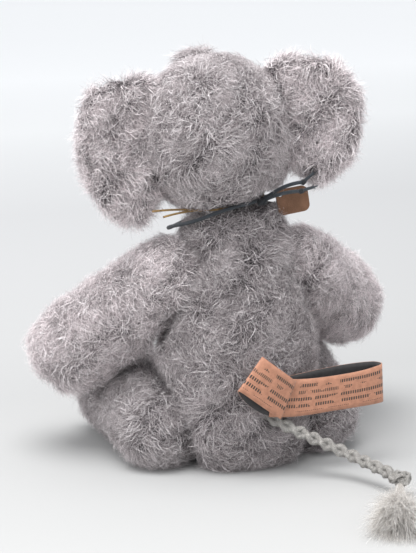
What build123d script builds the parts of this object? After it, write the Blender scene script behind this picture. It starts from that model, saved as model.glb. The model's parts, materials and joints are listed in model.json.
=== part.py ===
from build123d import *
import os
from math import cos, pi, radians, sin, tan

# A small fully jointed mohair elephant, seated. It faces -Y, its own left is +X and up is +Z.
# The origin is the middle of the flat that it sits on. All sizes are in millimetres.

# ---- covers, stuffing and running clearances ----
cover = 2.0                # mohair cover: woven backing with the packed roots of its pile
stuffing_gap = 0.15        # filling to cover, and filling to what is buried in it
turn_gap = 0.3             # between two covers that turn against each other
seam_gap = 0.1             # pad edge to the cover that it is sewn into

# ---- torso, as (radius, height) ----
torso_outline = [(16, 0), (20.6, 5), (23.6, 14), (24.9, 27), (24.5, 41), (22.6, 54), (19.8, 66),
                 (16.2, 77), (12.7, 86), (11.2, 93)]
bag_centre = (0, 3, 13.5)  # bag of weight pellets, low in the torso
bag_radius = 8.6
bag_height = 19.0
bag_waist = 0.8            # of its radius, a shoulder's height from each end
bag_shoulder = 0.3         # of its height, from the middle

# ---- head, as (radius, height over the neck joint) ----
head_outline = [(9.2, 0), (15.0, 3.2), (19.5, 9.3), (22.2, 17.0), (22.6, 24.8), (20.8, 33.4), (16.3, 40.8),
                (9.2, 45.4), (0, 46.8)]
neck_at = (2.5, 0, 87.0)
head_tilt = 7.6            # towards its own left shoulder
head_turn = -8.7           # towards its own right

# ---- ears, as (sideways, height over the neck joint), outer edge only; the left one hangs longer ----
left_ear = [(16.5, 40.5), (24.5, 46.4), (33.5, 45.6), (41.0, 39.0), (44.6, 27.5), (43.0, 14.5), (38.2, 4.8),
            (32.0, -0.6), (26.0, 2.8), (19.5, 12.0)]
right_ear = [(16.5, 38.5), (27.0, 44.0), (37.0, 42.0), (44.6, 34.8), (47.0, 25.0), (44.6, 14.5), (39.4, 7.6),
             (33.0, 4.0), (26.5, 6.6), (20.0, 14.5)]
ear_layer = 3.3            # one of the two layers of an ear
ear_rounding = 2.4
ear_sweep = 8.0            # outer edge swept back

# ---- trunk, held up in front of the face ----
trunk_root = 9.0           # radius where it leaves the face
trunk_tip = 5.6            # radius at the tip
trunk_height = 19.5        # of its root over the neck joint
trunk_reach = 26.0         # forward to where it starts to rise
trunk_bend = 18.0          # radius of the rise
trunk_rise = 8.0          # straight stretch at the tip

# ---- eyes ----
eye_radius = 2.5
eye_side = 33.0            # degrees round the head from straight ahead
eye_height = 27.0
eye_wire = 0.8
eye_shank = 5.0
eye_loop = 1.5

# ---- arms: the joint is a disc joint whose axis leans up ----
arm_outline = [(0, 11.5), (12, 12.2), (27, 12.6), (40, 13.3), (50, 12.8), (57, 10.2)]  # (along, radius)
shoulder_at = (15.8, 0, 61.5)
shoulder_lean = 22.0       # joint axis over the level
shoulder_seat = 6.5        # root centre over the joint face
shoulder_roof = 12.2       # top of the hollow that the arm's root turns in, over the joint
arm_forward = 34.0         # swing forward from hanging
right_arm_further = 14.0   # further forward on the right
arm_lift = 20.5            # away from the joint face

# ---- legs ----
leg_outline = [(0, 13.0), (12, 13.4), (25, 13.3), (36, 14.3), (44, 15.1), (48, 13.9)]
hip_side = 19.0            # joint sideways
hip_lean = 17.5            # joint axis below the level
hip_seat = 8.5
leg_raise = 4.6            # over straight ahead
leg_lift = 3.1
leg_flat = 22.0            # radius of the flat on the leg's inner side

# ---- pads and insoles ----
pad = 1.0
insole = 0.8
insole_margin = 0.7

# ---- disc joints, all with the same bolt ----
disc = 2.0
shoulder_disc = 7.4        # radius
hip_disc = 8.4
neck_disc = 7.2
bolt = 1.5                 # shank radius
bolt_fit = 0.05            # shank to the disc that turns on it
bolt_hole = 0.3            # shank to the covers
head_across = 5.5
head_high = 2.0
washer = 3.4               # radius
washer_thick = 0.6
nut_across = 5.5
nut_high = 3.4
bolt_past_nut = 0.6

# ---- tail: a braided cord that is knotted inside the torso ----
tail_radius = 1.6
tail_route = [(-1.0, 20.5, 21.0), (-7.0, 28.0, 17.6), (-16.6, 31.4, 13.4), (-26.2, 36.0, 9.4),
              (-33.4, 44.6, 7.2), (-38.4, 54.6, 6.2)]
tail_fit = 0.05
anchor_radius = 3.2
knot_radius = 3.5
knot_hold = 0.7            # knot centre past the cord's end, in knot radii
tassel_end = (-21.0, 92.0, 6.6)
tassel_root = 1.8
tassel_spread = 6.2

# ---- necklace: a waxed cord tied behind the neck, a thread and a tag, which turn with the head ----
necklace_radius = 0.65
necklace_loop = 18.2       # radius of the loop, to its middle line
necklace_middle = (1.9, -2.9, -3.0)
necklace_dip = 11.0        # front lower than back
necklace_side_dip = 8.0    # left lower than right
necklace_knot = 1.7
necklace_knot_angle = 128.0
knot_out = 1.7             # of the knot outside the loop
knot_drop = 0.8            # of the knot below the loop
loose_ends = [((-24.9, 10.4, 4.4), (-28.9, 9.7, 6.6), (0, 0.6, 1.4)),
              ((-23.5, 12.6, 2.0), (-28.0, 11.9, 2.5), (0, 0.6, 0.9))]   # (knot, tip, bow)
stopper = 1.15
thread_radius = 0.35
thread_loop = 12.6
thread_height = 0.65
thread_knot = 0.7
thread_knot_angle = 40.0
thread_tips = [(25.2, 11.6, 3.6), (22.1, 13.4, 1.5)]
tag_width = 11.0
tag_height = 8.6
tag_thick = 0.9
tag_corner = 2.2
tag_hole = 0.8
tag_at = (-21.6, 4.6, -2.2)
tag_turn = 8.0

# ---- sewn-in label: a folded loop of ribbon ----
label_thick = 1.2
label_at = (-6.4, 29.4, 20.8)
label_outline = [(0, 0), (-13.9, 10.8), (-5.2, 20.8), (5.3, 12.2), (37.3, 15.0), (37.6, 2.4)]
label_turn = 4.0
label_tab = (10.0, 9.6)    # width and length of the part sewn into the seam
label_tab_at = (-1.0, 25.9, 25.6)

os.makedirs("parts", exist_ok=True)
parts = {}
big = 200.0


# ---------------------------------------------------------------- helpers

def spun(points):
    """A solid of revolution about Z from (radius, height) points, closed to the axis."""
    places = [(r, 0, z) for r, z in points]
    edges = [Spline(*places)]
    if points[-1][0] > 0:
        edges.append(Line(places[-1], (0, 0, points[-1][1])))
    edges.append(Line((0, 0, points[-1][1]), (0, 0, points[0][1])))
    if points[0][0] > 0:
        edges.append(Line((0, 0, points[0][1]), places[0]))
    return revolve(make_face(edges), Axis.Z)


def rod(radius, low, high, frame=Location()):
    """A round bar along Z of a frame, from one height to another."""
    return frame * Pos(0, 0, (low + high) / 2) * Cylinder(radius, high - low)


def hexagon(across, low, high, frame):
    prism = extrude(RegularPolygon(across / 2, 6, major_radius=False), high - low)
    return frame * Pos(0, 0, low) * prism


def above(height, frame, reach=big):
    """Everything over a height in a frame."""
    return frame * Pos(0, 0, height + reach / 2) * Box(reach, reach, reach)


def below(height, frame, reach=big):
    return frame * Pos(0, 0, height - reach / 2) * Box(reach, reach, reach)


def mirrored(shape):
    """The same piece on the other side of the body."""
    return mirror(shape, Plane.YZ)


# ---------------------------------------------------------------- frames

# Each joint frame has its origin on the joint face and Z along the joint axis, away from the torso.
shoulder_axis = Vector(cos(radians(shoulder_lean)), 0, sin(radians(shoulder_lean)))
hip_axis = Vector(cos(radians(hip_lean)), 0, -sin(radians(hip_lean)))
forward = Vector(0, -1, 0)


def joint_frame(at, axis):
    """A frame on the left side, with X forward and Y down along the joint face."""
    return Plane(origin=at, x_dir=forward, z_dir=axis).location


leg_root = leg_outline[0][1]
hip_height = leg_root + (hip_seat + turn_gap / 2) * sin(radians(hip_lean))
shoulder = joint_frame(shoulder_at, shoulder_axis)
hip = joint_frame((hip_side, 0, hip_height), hip_axis)
neck = Location(neck_at) * Rot(0, head_tilt, 0)
head = neck * Rot(0, 0, head_turn)


def limb_frame(joint, seat, swing, lift):
    """A frame at the middle of a limb's root, with Z along the limb. Swing turns from down to forward."""
    flat = Vector(sin(radians(swing)), cos(radians(swing)), 0)
    along = flat * cos(radians(lift)) + Vector(0, 0, sin(radians(lift)))
    return joint * Plane(origin=(0, 0, seat + turn_gap / 2), z_dir=along).location


arm = limb_frame(shoulder, shoulder_seat, arm_forward, arm_lift)
leg = limb_frame(hip, hip_seat, 90 + leg_raise, leg_lift)


# ---------------------------------------------------------------- blanks of the soft parts

def torso_blank(inset):
    """The torso's form, drawn in by an inset, with its flats for the seat and the five joints."""
    rows = [(r - inset, z) for r, z in torso_outline]
    rows[0] = (rows[0][0], inset)
    blank = spun(rows) - above(-turn_gap / 2 - inset, neck)
    roof = shoulder_roof + inset
    arm_room = Pos(0, big / 2 - roof, big / 2 - turn_gap / 2 - inset) * Box(big, big, big)
    for side in (lambda shape: shape, mirrored):
        blank -= side(shoulder * arm_room)
        blank -= side(above(-turn_gap / 2 - inset, hip))
    return blank


def head_blank(inset):
    rows = [(max(r - inset, 0), z) for r, z in head_outline]
    rows[0] = (rows[0][0], turn_gap / 2 + inset)
    rows[-1] = (0, head_outline[-1][1] - inset)
    return head * spun(rows)


def trunk_blank(inset):
    """Round sections along the trunk's middle line, from inside the face to the tip."""
    stations = [(-trunk_reach + 10, trunk_height, 90, 0)]
    for angle in (0, 30, 60, 90):
        y = -trunk_reach - trunk_bend * sin(radians(angle))
        z = trunk_height + trunk_bend * (1 - cos(radians(angle)))
        stations.append((y, z, 90 - angle, angle / 120 + 0.1))
    stations.append((stations[-1][0], stations[-1][1] + trunk_rise - inset, 0, 1))
    sections = []
    for y, z, lean, share in stations:
        radius = trunk_root + (trunk_tip - trunk_root) * share - inset
        sections.append(Pos(0, y, z) * Rot(lean, 0, 0) * Circle(radius))
    return head * loft(sections)


def limb_blank(outline, inset, frame, joint, flat=big):
    """A limb's form, drawn in by an inset, with a flat against the joint. It is open at the pad when inset."""
    root = outline[0][1] - inset
    dome = [(root * sin(radians(a)), -root * cos(radians(a))) for a in (0, 30, 60)]
    rows = dome + [(r - inset, s) for s, r in outline]
    form = spun(rows)
    if inset:
        form += rod(rows[-1][0], rows[-1][1] - cover, rows[-1][1] + cover)
    return frame * form - rod(flat + inset, -big / 2, turn_gap / 2 + inset, joint)


# ---------------------------------------------------------------- disc joints

bolts = []
washers = []
nuts = []
covers_between = turn_gap / 2 + cover
limb_stack = covers_between + disc
bolt_room = washer + stuffing_gap


def disc_joint(frame, radius):
    """Both discs of a joint, and the tools that make room for it in the torso and in the limb."""
    inner = rod(radius, -limb_stack, -covers_between, frame) - rod(bolt + bolt_fit, -big, big, frame)
    outer = rod(radius, covers_between, limb_stack, frame) - rod(bolt + bolt_fit, -big, big, frame)
    washer_top = limb_stack + bolt_fit + washer_thick
    washer_foot = -limb_stack - washer_thick
    bore = rod(bolt, -big, big, frame)
    bolt_end = washer_foot - nut_high - bolt_past_nut
    washers.append(rod(washer, washer_top - washer_thick, washer_top, frame) - bore)
    washers.append(rod(washer, washer_foot, -limb_stack, frame) - bore)
    bolts.append(rod(bolt, bolt_end, washer_top, frame) + hexagon(head_across, washer_top,
                                                                  washer_top + head_high, frame))
    nuts.append(hexagon(nut_across, washer_foot - nut_high, washer_foot, frame) - bore)
    gap = stuffing_gap
    torso_room = rod(radius + gap, -limb_stack - gap, 0, frame) + \
        rod(bolt_room, bolt_end - gap, 0, frame)
    limb_room = rod(radius + gap, 0, limb_stack + gap, frame) + \
        rod(bolt_room + turn_gap, 0, washer_top + head_high + turn_gap, frame)
    hole = rod(bolt + bolt_hole, -covers_between - 1, covers_between + 1, frame)
    return inner, outer, torso_room, limb_room, hole


def both(name, shape):
    """Two pieces, left and right, from the left one."""
    parts[name.format("left")] = shape
    parts[name.format("right")] = mirrored(shape)


neck_joint = disc_joint(neck, neck_disc)
shoulder_joint = disc_joint(shoulder, shoulder_disc)
hip_joint = disc_joint(hip, hip_disc)
for group in (bolts, washers, nuts):
    group += [mirrored(piece) for piece in group[len(group) // 3:]]
parts["neck_lower_disc"] = neck_joint[0]
parts["neck_upper_disc"] = neck_joint[1]
both("shoulder_{}_inner_disc", shoulder_joint[0])
both("shoulder_{}_outer_disc", shoulder_joint[1])
both("hip_{}_inner_disc", hip_joint[0])
both("hip_{}_outer_disc", hip_joint[1])
parts["joint_bolts"] = Compound(bolts)
parts["joint_washers"] = Compound(washers)
parts["joint_lock_nuts"] = Compound(nuts)


# ---------------------------------------------------------------- tail

def cord_path(points):
    """Straight runs joined by arcs, each as large as its two runs allow."""
    radii = []
    for before, here, after in zip(points, points[1:], points[2:]):
        one = Vector(*here) - Vector(*before)
        two = Vector(*after) - Vector(*here)
        half_turn = one.get_angle(two) / 2
        radii.append(0.45 * min(one.length, two.length) / tan(radians(half_turn)))
    print("cord bend radii:", [round(r, 1) for r in radii], "of diameter", 2 * tail_radius)
    return FilletPolyline(*points, radius=radii)


tail_path = cord_path(tail_route)
tail_start = Plane(origin=tail_path @ 0, z_dir=tail_path % 0)
tail_stop = Plane(origin=tail_path @ 1, z_dir=tail_path % 1)
tail_cord = sweep(tail_start.location * Circle(tail_radius), path=tail_path)
print("tail cord volume", round(tail_cord.volume, 1), "section by length",
      round(pi * tail_radius ** 2 * tail_path.length, 1), "length", round(tail_path.length, 1))
anchor_knot = tail_start.location * Pos(0, 0, -anchor_radius * knot_hold) * Sphere(anchor_radius)
tail_cord -= anchor_knot
end_knot = tail_stop.location * Pos(0, 0, knot_radius * knot_hold) * Sphere(knot_radius) - tail_cord
tassel_from = tail_stop.origin + tail_stop.z_dir * knot_radius
tassel_line = Vector(*tassel_end) - tassel_from
tassel = Plane(origin=tassel_from, z_dir=tassel_line).location * Pos(0, 0, tassel_line.length / 2) * \
    Cone(tassel_root, tassel_spread, tassel_line.length)
tassel -= end_knot
parts["tail_anchor_knot"] = anchor_knot
parts["tail_cord"] = tail_cord
parts["tail_end_knot"] = end_knot
parts["tail_tassel"] = tassel - tail_cord


# ---------------------------------------------------------------- necklace, thread and swing tag

def bar(start, end, radius):
    """A round bar between two points."""
    line = Vector(*end) - Vector(*start)
    return Plane(origin=start, z_dir=line).location * Pos(0, 0, line.length / 2) * \
        Cylinder(radius, line.length)


ring = Pos(*necklace_middle) * Rot(necklace_dip, necklace_side_dip, 0)
knot_centre = (ring * Rot(0, 0, necklace_knot_angle) * Pos(necklace_loop + knot_out, 0, -knot_drop)).position
knots = [Pos(*knot_centre) * Sphere(necklace_knot)]
ends = []
for stop, tip, bow in loose_ends:
    middle = (knot_centre + Vector(*stop)) / 2 + Vector(*bow)
    arc = ThreePointArc(knot_centre, middle, Vector(*stop))
    ends.append(sweep(Plane(origin=arc @ 0, z_dir=arc % 0).location * Circle(necklace_radius), path=arc))
    ends.append(bar(stop, tip, necklace_radius))
    knots.append(Pos(*stop) * Sphere(stopper))
knot_span = 360 / (2 * pi) * necklace_knot / necklace_loop
ring_arc = CenterArc((0, 0, 0), necklace_loop, necklace_knot_angle + knot_span / 2, 360 - knot_span)
ring_end = Plane(origin=ring_arc @ 0, z_dir=ring_arc % 0).location
necklace = ring * sweep(ring_end * Circle(necklace_radius), path=ring_arc) - knots[0]
for knot in knots:
    ends = [end - knot for end in ends]
ends[2] -= ends[0]
parts["necklace_cord"] = head * necklace
parts["necklace_ends"] = head * Compound(ends)
parts["necklace_knots"] = head * Compound(knots)

thread_level = Pos(0, 0, thread_height)
knot_place = (thread_level * Rot(0, 0, thread_knot_angle) * Pos(thread_loop, 0, 0)).position
thread_knot_piece = Pos(*knot_place) * Sphere(thread_knot)
tag_place = Pos(*tag_at) * Rot(0, 0, tag_turn)
tag_plate = extrude(RectangleRounded(tag_width, tag_height, tag_corner), tag_thick)
tag_hole_cut = Pos(tag_width / 2 - 2 * tag_hole, tag_height / 2 - 2 * tag_hole, 0) * \
    Cylinder(tag_hole, 3 * tag_thick)
tag = tag_place * Rot(90, 0, 0) * (tag_plate - tag_hole_cut)
thread = [thread_level * Torus(thread_loop, thread_radius) - thread_knot_piece, thread_knot_piece]
for tip, aside in zip(thread_tips, (-thread_radius, thread_radius)):
    root = (knot_place.X, knot_place.Y, knot_place.Z - 1.2 * aside)
    thread.append(bar(root, tip, thread_radius) - thread_knot_piece)
parts["neck_thread"] = head * Compound(thread)
parts["swing_tag"] = head * tag


# ---------------------------------------------------------------- head

def eye(side):
    """A glass eye on its wire shank, which ends in a loop inside the head, and the room for it."""
    angle = radians(eye_side)
    outward = Vector(side * sin(angle), -cos(angle), 0)
    place = head * Plane(origin=outward * head_radius_at(eye_height) + Vector(0, 0, eye_height),
                         z_dir=outward).location
    shank = rod(eye_wire / 2, -eye_shank, 0, place)
    loop = place * Pos(0, 0, -eye_shank - eye_loop) * Rot(90, 0, 0) * Torus(eye_loop, eye_wire / 2)
    glass = place * Pos(0, 0, eye_radius * 0.3) * Sphere(eye_radius) - head_blank(0) - shank
    room = rod(eye_loop + eye_wire, -eye_shank - 2 * eye_loop - eye_wire, -eye_shank + eye_wire, place)
    room += rod(eye_wire / 2 + stuffing_gap, -eye_shank, 0, place)
    return glass, shank - loop + loop, room


def head_radius_at(height):
    """Radius of the head at a height over the neck joint."""
    cut = spun(head_outline) & Pos(0, 0, height) * Box(big, big, 0.01)
    return cut.bounding_box().max.X


head_form = head_blank(0)
eyes = {"left": eye(1), "right": eye(-1)}
head_cover = head_form - head_blank(cover) - neck_joint[4]
head_stuffing = head_blank(cover + stuffing_gap) - neck_joint[3]
for name, (glass, shank, room) in eyes.items():
    parts[f"eye_{name}"] = glass
    parts[f"eye_{name}_shank"] = shank
    head_cover -= room
    head_stuffing -= room
parts["head_cover"] = head_cover
parts["head_stuffing"] = head_stuffing
parts["trunk_cover"] = trunk_blank(0) - trunk_blank(cover) - head_form
parts["trunk_stuffing"] = trunk_blank(cover + stuffing_gap) - head_form


def ear(points, side, face):
    """One layer of an ear, with its outer edge rounded. Face is 1 for the back layer, -1 for the front."""
    outer = Spline(*[(side * x, 0, z) for x, z in points])
    outline = make_face([outer, Line(outer @ 1, outer @ 0)])
    layer = extrude(outline, amount=ear_layer, dir=(0, face, 0))
    outer_face = layer.faces().sort_by(Axis.Y)[-1 if face > 0 else 0]
    rim = outer_face.edges().sort_by(SortBy.LENGTH)[-1]
    layer = Pos(0, face * seam_gap / 2, 0) * fillet(rim, ear_rounding)
    return head * Rot(0, 0, side * ear_sweep) * (layer - spun(head_outline))


for name, points, side in (("left", left_ear, 1), ("right", right_ear, -1)):
    parts[f"ear_{name}_back"] = ear(points, side, 1)
    parts[f"ear_{name}_front"] = ear(points, side, -1)


# ---------------------------------------------------------------- limbs

def limb(name, outline, frame, joint, room, hole, flat=big):
    """Cover, stuffing and pad of a left limb, and the same for the right one."""
    end_radius, length = outline[-1][1], outline[-1][0]
    form = limb_blank(outline, 0, frame, joint, flat)
    inside = limb_blank(outline, cover, frame, joint, flat)
    filled_to = length - pad - insole - 2 * stuffing_gap
    stuffing = limb_blank(outline, cover + stuffing_gap, frame, joint, flat) - above(filled_to, frame)
    both(name + "_{}_cover", form - inside - hole)
    both(name + "_{}_stuffing", stuffing - room)
    both(name + "_{}_pad", rod(end_radius - cover - seam_gap, length - pad, length, frame))


limb("arm", arm_outline, arm, shoulder, shoulder_joint[3], shoulder_joint[4])
right_axis = Axis((-shoulder_at[0], shoulder_at[1], shoulder_at[2]), (-shoulder_axis.X, 0, shoulder_axis.Z))
for piece in ("arm_right_cover", "arm_right_stuffing", "arm_right_pad"):
    parts[piece] = parts[piece].rotate(right_axis, right_arm_further)
limb("leg", leg_outline, leg, hip, hip_joint[3], hip_joint[4], leg_flat)
leg_end = leg_outline[-1][0] - pad - stuffing_gap
both("leg_{}_insole", rod(leg_outline[-1][1] - cover - insole_margin, leg_end - insole, leg_end, leg))


# ---------------------------------------------------------------- torso and label

label_plane = Plane(origin=label_at, x_dir=(-1, 0, 0), z_dir=(0, 1, 0)).location * Rot(0, label_turn, 0)
label = label_plane * extrude(make_face(Polyline(*label_outline, close=True)), label_thick)
tab = Pos(*label_tab_at) * Box(label_tab[0], label_tab[1], label_thick)
parts["sewn_label"] = label + tab

bag_side = [(0, bag_height / 2), (bag_radius * bag_waist, bag_height * bag_shoulder)]
bag_outline = [(r, -z) for r, z in bag_side] + [(bag_radius, 0)] + bag_side[::-1]
bag = Pos(*bag_centre) * spun(bag_outline)
torso_cover = torso_blank(0) - torso_blank(cover)
torso_stuffing = torso_blank(cover + stuffing_gap)
for joint in (neck_joint, shoulder_joint, hip_joint):
    for side in (lambda shape: shape, mirrored):
        torso_cover -= side(joint[4])
        torso_stuffing -= side(joint[2])
tail_hole = bar(tail_route[0], tail_route[1], tail_radius + tail_fit)
anchor_room = tail_start.location * Pos(0, 0, -anchor_radius * knot_hold) * \
    Sphere(anchor_radius + stuffing_gap)
tab_room = Pos(*label_tab_at) * Box(label_tab[0] + stuffing_gap, label_tab[1] + 2 * stuffing_gap,
                                    label_thick + stuffing_gap)
bag_room = Pos(*bag_centre) * Cylinder(bag_radius + 2 * stuffing_gap, bag_height + stuffing_gap)
parts["torso_cover"] = torso_cover - tail_hole - tab_room
parts["torso_stuffing"] = torso_stuffing - tail_hole - anchor_room - tab_room - bag_room
parts["pellet_bag"] = bag

for name, shape in parts.items():
    export_step(shape, f"parts/{name}.step")
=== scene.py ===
import json
from math import cos, pi, radians, sin

import bmesh
import bpy
import numpy as np
from mathutils import Matrix, Vector
from mathutils.bvhtree import BVHTree
from mathutils.kdtree import KDTree


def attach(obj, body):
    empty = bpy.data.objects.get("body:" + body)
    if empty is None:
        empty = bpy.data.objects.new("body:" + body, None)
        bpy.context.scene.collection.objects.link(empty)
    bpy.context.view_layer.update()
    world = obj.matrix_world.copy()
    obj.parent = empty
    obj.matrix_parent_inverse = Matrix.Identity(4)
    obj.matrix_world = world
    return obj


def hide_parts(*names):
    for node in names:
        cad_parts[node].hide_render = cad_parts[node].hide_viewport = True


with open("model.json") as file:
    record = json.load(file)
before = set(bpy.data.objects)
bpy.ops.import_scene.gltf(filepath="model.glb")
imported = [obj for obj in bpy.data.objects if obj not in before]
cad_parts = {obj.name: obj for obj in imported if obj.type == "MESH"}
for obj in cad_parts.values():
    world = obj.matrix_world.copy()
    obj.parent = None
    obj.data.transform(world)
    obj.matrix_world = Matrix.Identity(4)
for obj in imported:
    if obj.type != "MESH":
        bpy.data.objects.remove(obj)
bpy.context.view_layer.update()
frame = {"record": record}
MM = 0.001

# The head's own frame, as in the CAD source: necklace, thread and trunk are drawn in it.
NECK = Vector((2.5, 0, 87.0)) * MM
HEAD = (Matrix.Translation(NECK) @ Matrix.Rotation(radians(7.6), 4, "Y")
        @ Matrix.Rotation(radians(-8.7), 4, "Z"))


# ------------------------------------------------------------------ camera

def make_camera():
    data = bpy.data.cameras.new("camera")
    data.sensor_fit = "HORIZONTAL"
    data.sensor_width = 36
    data.lens = 134.3
    data.clip_start = 0.01
    camera = bpy.data.objects.new("camera", data)
    bpy.context.collection.objects.link(camera)
    camera.location = (0.1403, 0.4890, 0.1701)
    aim = Vector((0.0087, -0.0023, 0.0620)) - camera.location
    roll = Matrix.Rotation(radians(-1.4), 4, "Z")
    camera.matrix_world = (Matrix.Translation(camera.location)
                           @ aim.to_track_quat("-Z", "Y").to_matrix().to_4x4() @ roll)
    bpy.context.scene.camera = camera


make_camera()


# ------------------------------------------------------------------ materials

class Nodes:
    """A small helper around one material's node tree."""

    def __init__(self, name):
        self.material = bpy.data.materials.new(name)
        self.material.use_nodes = True
        self.tree = self.material.node_tree
        self.shader = self.tree.nodes["Principled BSDF"]

    def add(self, kind, **values):
        node = self.tree.nodes.new(kind)
        for key, value in values.items():
            setattr(node, key, value)
        return node

    def link(self, source, target):
        self.tree.links.new(source, target)

    def ramp(self, source, stops):
        node = self.add("ShaderNodeValToRGB")
        elements = node.color_ramp.elements
        while len(elements) < len(stops):
            elements.new(0.5)
        for element, (place, colour) in zip(elements, stops):
            element.position = place
            element.color = (*colour, 1)
        self.link(source, node.inputs["Fac"])
        return node

    def bump(self, source, distance):
        node = self.add("ShaderNodeBump")
        node.inputs["Strength"].default_value = 1.0
        node.inputs["Distance"].default_value = distance
        self.link(source, node.inputs["Height"])
        self.link(node.outputs["Normal"], self.shader.inputs["Normal"])

    def set(self, **values):
        for key, value in values.items():
            self.shader.inputs[key.replace("_", " ")].default_value = value
        return self


def noise_of(nodes, scale, detail=4.0, roughness=0.55, vector=None):
    noise = nodes.add("ShaderNodeTexNoise")
    noise.inputs["Scale"].default_value = scale
    noise.inputs["Detail"].default_value = detail
    noise.inputs["Roughness"].default_value = roughness
    nodes.link(vector or nodes.add("ShaderNodeTexCoord").outputs["Object"], noise.inputs["Vector"])
    return noise


def mottled(name, dark, light, scale, roughness, bump, **values):
    """Base colour and bump from one noise, at a scale per metre."""
    nodes = Nodes(name)
    noise = noise_of(nodes, scale)
    colours = nodes.ramp(noise.outputs["Fac"], [(0.3, dark), (0.7, light)])
    nodes.link(colours.outputs["Color"], nodes.shader.inputs["Base Color"])
    nodes.bump(noise.outputs["Fac"], bump)
    return nodes.set(Roughness=roughness, **values)


def plain_pile(name, colour):
    """A strand's own tint. The mohair's colour change is made by strands of different tints."""
    nodes = Nodes(name)
    noise = noise_of(nodes, 900)
    rough = nodes.add("ShaderNodeMapRange")
    rough.inputs["To Min"].default_value = 0.5
    rough.inputs["To Max"].default_value = 0.75
    nodes.link(noise.outputs["Fac"], rough.inputs["Value"])
    nodes.link(rough.outputs["Result"], nodes.shader.inputs["Roughness"])
    nodes.set(Base_Color=(*colour, 1), Sheen_Weight=0.25, Sheen_Roughness=0.5, Specular_IOR_Level=0.3)
    return nodes.material


def hair_material(name, stops, random_tint, translucency):
    """For fine hairs: their colour runs from root to tip, and each hair has its own brightness."""
    material = bpy.data.materials.new(name)
    material.use_nodes = True
    tree = material.node_tree
    tree.nodes.clear()
    info = tree.nodes.new("ShaderNodeHairInfo")
    ramp = tree.nodes.new("ShaderNodeValToRGB")
    while len(ramp.color_ramp.elements) < len(stops):
        ramp.color_ramp.elements.new(0.5)
    for element, (place, colour) in zip(ramp.color_ramp.elements, stops):
        element.position = place
        element.color = (*colour, 1)
    value = tree.nodes.new("ShaderNodeMapRange")
    value.inputs["To Min"].default_value = 1 - random_tint
    value.inputs["To Max"].default_value = 1 + random_tint
    tint = tree.nodes.new("ShaderNodeHueSaturation")
    diffuse = tree.nodes.new("ShaderNodeBsdfDiffuse")
    through = tree.nodes.new("ShaderNodeBsdfTranslucent")
    mix = tree.nodes.new("ShaderNodeMixShader")
    mix.inputs["Fac"].default_value = translucency
    out = tree.nodes.new("ShaderNodeOutputMaterial")
    tree.links.new(info.outputs["Intercept"], ramp.inputs["Fac"])
    tree.links.new(info.outputs["Random"], value.inputs["Value"])
    tree.links.new(value.outputs["Result"], tint.inputs["Value"])
    tree.links.new(ramp.outputs["Color"], tint.inputs["Color"])
    for shader in (diffuse, through):
        tree.links.new(tint.outputs["Color"], shader.inputs["Color"])
    tree.links.new(diffuse.outputs["BSDF"], mix.inputs[1])
    tree.links.new(through.outputs["BSDF"], mix.inputs[2])
    tree.links.new(mix.outputs["Shader"], out.inputs["Surface"])
    return material


backing = mottled("mohair_backing", (0.05, 0.043, 0.045), (0.15, 0.13, 0.135), 420, 0.95, 0.0004,
                  Sheen_Weight=0.2).material

# Linear colours of the mohair: strands step through the tones, hairs run through them from root to tip.
PILE_TONES = [("root", (0.07, 0.062, 0.064)), ("middle", (0.40, 0.358, 0.368)),
              ("tip", (0.84, 0.775, 0.785)), ("silver", (0.94, 0.89, 0.90))]
HAIR_TONES = [(0.0, (0.07, 0.062, 0.064)), (0.4, (0.32, 0.286, 0.295)), (0.75, (0.80, 0.735, 0.745)),
              (1.0, (0.94, 0.885, 0.895))]
# Painted shade: how far the mohair's colours are darkened on each kind of part, standing in for how little
# light it gets; the torso and legs are painted darkest, the ears and arms lightest.
PAINTED_SHADE = {"torso": 0.76, "leg": 0.73, "head": 0.81, "trunk": 0.85, "arm": 1.0, "ear": 1.03}


# Painted shade: a colour scaled darker or lighter by a part's shade factor.
def shaded(colour, shade):
    return tuple(channel * shade for channel in colour)


# Painted shade: each kind of part gets its own darker or lighter copy of the pile and hair colours.
pile = {kind: [plain_pile(f"pile_{tone}_{kind}", shaded(colour, shade)) for tone, colour in PILE_TONES]
        for kind, shade in PAINTED_SHADE.items()}
hair = {kind: hair_material(f"pile_hair_{kind}",
                            [(place, shaded(colour, shade)) for place, colour in HAIR_TONES], 0.5, 0.35)
        for kind, shade in PAINTED_SHADE.items()}


def suede_material():
    nodes = mottled("suede", (0.42, 0.27, 0.17), (0.60, 0.42, 0.28), 260, 0.9, 0.00015, Sheen_Weight=0.5,
                    Sheen_Roughness=0.6)
    return nodes.material


def leather_material():
    nodes = Nodes("tag_leather")
    grain = nodes.add("ShaderNodeTexVoronoi")
    grain.inputs["Scale"].default_value = 2200
    nodes.link(nodes.add("ShaderNodeTexCoord").outputs["Object"], grain.inputs["Vector"])
    noise = noise_of(nodes, 300)
    colours = nodes.ramp(noise.outputs["Fac"], [(0.3, (0.155, 0.072, 0.035)), (0.7, (0.235, 0.115, 0.062))])
    nodes.link(colours.outputs["Color"], nodes.shader.inputs["Base Color"])
    nodes.bump(grain.outputs["Distance"], 0.00008)
    return nodes.set(Roughness=0.62).material


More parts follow.
